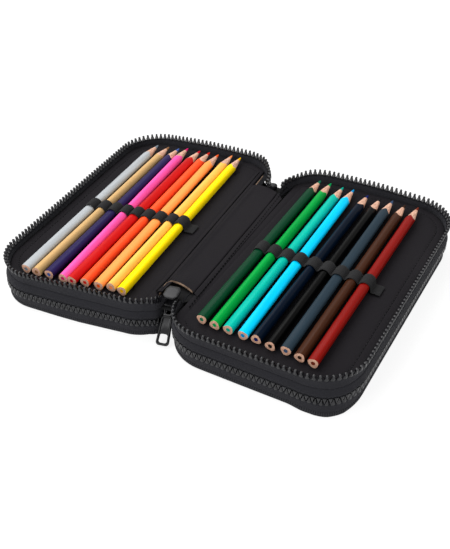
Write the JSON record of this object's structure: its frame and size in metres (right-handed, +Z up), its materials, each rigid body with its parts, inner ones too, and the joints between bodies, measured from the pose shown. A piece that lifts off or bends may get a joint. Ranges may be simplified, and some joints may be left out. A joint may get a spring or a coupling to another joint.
{
  "type": "pencil case",
  "caption": "Fabric pencil case that folds open on a flat spine, with two zipped outer compartments and pencils held in elastic loops.",
  "frame": {"origin": "on the table under the middle of the open case", "axes": "+X across the two halves, from the left half to the right one; +Y away from the near edge; +Z up"},
  "size_m": [0.2544, 0.2038, 0.031],
  "materials": {
    "fabric": "woven polyester, matt",
    "lining": "smooth lining, matt",
    "zip_plastic": "moulded, satin",
    "zip_metal": "black paint, satin",
    "elastic": "ribbed elastic, matt",
    "paint_bottle": "gloss lacquer on cedar",
    "paint_green": "gloss lacquer on cedar",
    "paint_teal": "gloss lacquer on cedar",
    "paint_cyan": "gloss lacquer on cedar",
    "paint_navy": "gloss lacquer on cedar",
    "paint_black": "gloss lacquer on cedar",
    "paint_slate": "gloss lacquer on cedar",
    "paint_umber": "gloss lacquer on cedar",
    "paint_russet": "gloss lacquer on cedar",
    "paint_silver": "gloss lacquer on cedar",
    "paint_tan": "gloss lacquer on cedar",
    "paint_indigo": "gloss lacquer on cedar",
    "paint_pink": "gloss lacquer on cedar",
    "paint_red": "gloss lacquer on cedar",
    "paint_vermilion": "gloss lacquer on cedar",
    "paint_orange": "gloss lacquer on cedar",
    "paint_apricot": "gloss lacquer on cedar",
    "paint_yellow": "gloss lacquer on cedar"
  },
  "bodies": {
    "right_half": {"right_divider_board": "lining", "right_upper_band": "fabric", "right_upper_zip_tape": "fabric", "right_upper_zip_teeth": "zip_plastic", "right_middle_zip_tape": "fabric", "right_middle_zip_teeth": "zip_plastic", "right_back_panel": "fabric", "right_elastic_loops": "elastic", "right_slider": "zip_metal"},
    "right_cover": {"right_cover_panel": "fabric", "right_edge_binding": "fabric", "right_lower_zip_tape": "fabric", "right_lower_zip_teeth": "zip_plastic", "right_lower_back_panel": "fabric"},
    "right_pull": {"right_pull_tab": "zip_metal"},
    "left_half": {"left_divider_board": "lining", "left_upper_band": "fabric", "left_upper_zip_tape": "fabric", "left_upper_zip_teeth": "zip_plastic", "left_middle_zip_tape": "fabric", "left_middle_zip_teeth": "zip_plastic", "left_back_panel": "fabric", "left_elastic_loops": "elastic", "left_slider": "zip_metal"},
    "left_cover": {"left_cover_panel": "fabric", "left_edge_binding": "fabric", "left_lower_zip_tape": "fabric", "left_lower_zip_teeth": "zip_plastic", "left_lower_back_panel": "fabric"},
    "left_pull": {"left_pull_tab": "zip_metal"},
    "spine": {"spine_strip": "lining", "near_tape_end": "fabric", "far_tape_end": "fabric", "near_right_spine_teeth": "zip_plastic", "near_left_spine_teeth": "zip_plastic", "far_right_spine_teeth": "zip_plastic", "far_left_spine_teeth": "zip_plastic", "middle_slider": "zip_metal", "middle_bottom_stop": "zip_plastic"},
    "middle_pull": {"middle_pull_tab": "zip_metal"},
    "pencil_bottle": {"pencil_bottle": "paint_bottle"},
    "pencil_green": {"pencil_green": "paint_green"},
    "pencil_teal": {"pencil_teal": "paint_teal"},
    "pencil_cyan": {"pencil_cyan": "paint_cyan"},
    "pencil_navy": {"pencil_navy": "paint_navy"},
    "pencil_black": {"pencil_black": "paint_black"},
    "pencil_slate": {"pencil_slate": "paint_slate"},
    "pencil_umber": {"pencil_umber": "paint_umber"},
    "pencil_russet": {"pencil_russet": "paint_russet"},
    "pencil_silver": {"pencil_silver": "paint_silver"},
    "pencil_tan": {"pencil_tan": "paint_tan"},
    "pencil_indigo": {"pencil_indigo": "paint_indigo"},
    "pencil_pink": {"pencil_pink": "paint_pink"},
    "pencil_red": {"pencil_red": "paint_red"},
    "pencil_vermilion": {"pencil_vermilion": "paint_vermilion"},
    "pencil_orange": {"pencil_orange": "paint_orange"},
    "pencil_apricot": {"pencil_apricot": "paint_apricot"},
    "pencil_yellow": {"pencil_yellow": "paint_yellow"}
  },
  "joints": [
    {"name": "spine_fold", "type": "hinge", "parent": "right_half", "child": "spine", "pos_m": [0.009, 0, 0.021], "axis": [0, 1, 0], "range_deg": [0, 90]},
    {"name": "left_fold", "type": "hinge", "parent": "spine", "child": "left_half", "pos_m": [-0.009, 0, 0.021], "axis": [0, 1, 0], "range_deg": [0, 90]},
    {"name": "right_cover_hinge", "type": "hinge", "parent": "right_half", "child": "right_cover", "pos_m": [0.0028, 0, 0.0112], "axis": [0, 1, 0], "range_deg": [0, 28]},
    {"name": "left_cover_hinge", "type": "hinge", "parent": "left_half", "child": "left_cover", "pos_m": [-0.0028, 0, 0.0112], "axis": [0, -1, 0], "range_deg": [0, 28]},
    {"name": "middle_pull_swing", "type": "hinge", "parent": "spine", "child": "middle_pull", "pos_m": [-0.00106, -0.07697, 0.019], "axis": [-0.9816, -0.1908, 0], "range_deg": [0, 42]},
    {"name": "right_pull_swing", "type": "hinge", "parent": "right_half", "child": "right_pull", "pos_m": [0.0421, 0.09963, 0.0112], "axis": [0, 0, 1], "range_deg": [0, 110]},
    {"name": "left_pull_swing", "type": "hinge", "parent": "left_half", "child": "left_pull", "pos_m": [-0.0421, 0.09963, 0.0112], "axis": [0, 0, -1], "range_deg": [0, 110]},
    {"name": "pencil_bottle_slide", "type": "slide", "parent": "right_half", "child": "pencil_bottle", "axis": [0.0122, 0.9999, 0], "range_m": [-0.006, 0.003]},
    {"name": "pencil_green_slide", "type": "slide", "parent": "right_half", "child": "pencil_green", "axis": [0.0122, 0.9999, 0], "range_m": [-0.006, 0.003]},
    {"name": "pencil_teal_slide", "type": "slide", "parent": "right_half", "child": "pencil_teal", "axis": [0.0122, 0.9999, 0], "range_m": [-0.006, 0.0035]},
    {"name": "pencil_cyan_slide", "type": "slide", "parent": "right_half", "child": "pencil_cyan", "axis": [0.0122, 0.9999, 0], "range_m": [-0.006, 0.004]},
    {"name": "pencil_navy_slide", "type": "slide", "parent": "right_half", "child": "pencil_navy", "axis": [0.0122, 0.9999, 0], "range_m": [-0.006, 0.004]},
    {"name": "pencil_black_slide", "type": "slide", "parent": "right_half", "child": "pencil_black", "axis": [0.0122, 0.9999, 0], "range_m": [-0.006, 0.0045]},
    {"name": "pencil_slate_slide", "type": "slide", "parent": "right_half", "child": "pencil_slate", "axis": [0.0122, 0.9999, 0], "range_m": [-0.006, 0.005]},
    {"name": "pencil_umber_slide", "type": "slide", "parent": "right_half", "child": "pencil_umber", "axis": [0.0122, 0.9999, 0], "range_m": [-0.006, 0.0055]},
    {"name": "pencil_russet_slide", "type": "slide", "parent": "right_half", "child": "pencil_russet", "axis": [0.0122, 0.9999, 0], "range_m": [-0.006, 0.0055]},
    {"name": "pencil_silver_slide", "type": "slide", "parent": "left_half", "child": "pencil_silver", "axis": [-0.0506, 0.9987, 0], "range_m": [-0.005, 0.006]},
    {"name": "pencil_tan_slide", "type": "slide", "parent": "left_half", "child": "pencil_tan", "axis": [-0.0506, 0.9987, 0], "range_m": [-0.006, 0.006]},
    {"name": "pencil_indigo_slide", "type": "slide", "parent": "left_half", "child": "pencil_indigo", "axis": [-0.0506, 0.9987, 0], "range_m": [-0.006, 0.006]},
    {"name": "pencil_pink_slide", "type": "slide", "parent": "left_half", "child": "pencil_pink", "axis": [-0.0506, 0.9987, 0], "range_m": [-0.006, 0.006]},
    {"name": "pencil_red_slide", "type": "slide", "parent": "left_half", "child": "pencil_red", "axis": [-0.0506, 0.9987, 0], "range_m": [-0.006, 0.0055]},
    {"name": "pencil_vermilion_slide", "type": "slide", "parent": "left_half", "child": "pencil_vermilion", "axis": [-0.0506, 0.9987, 0], "range_m": [-0.006, 0.004]},
    {"name": "pencil_orange_slide", "type": "slide", "parent": "left_half", "child": "pencil_orange", "axis": [-0.0506, 0.9987, 0], "range_m": [-0.006, 0.003]},
    {"name": "pencil_apricot_slide", "type": "slide", "parent": "left_half", "child": "pencil_apricot", "axis": [-0.0506, 0.9987, 0], "range_m": [-0.006, 0.002]},
    {"name": "pencil_yellow_slide", "type": "slide", "parent": "left_half", "child": "pencil_yellow", "axis": [-0.0506, 0.9987, 0], "range_m": [-0.006, 0.001]}
  ]
}
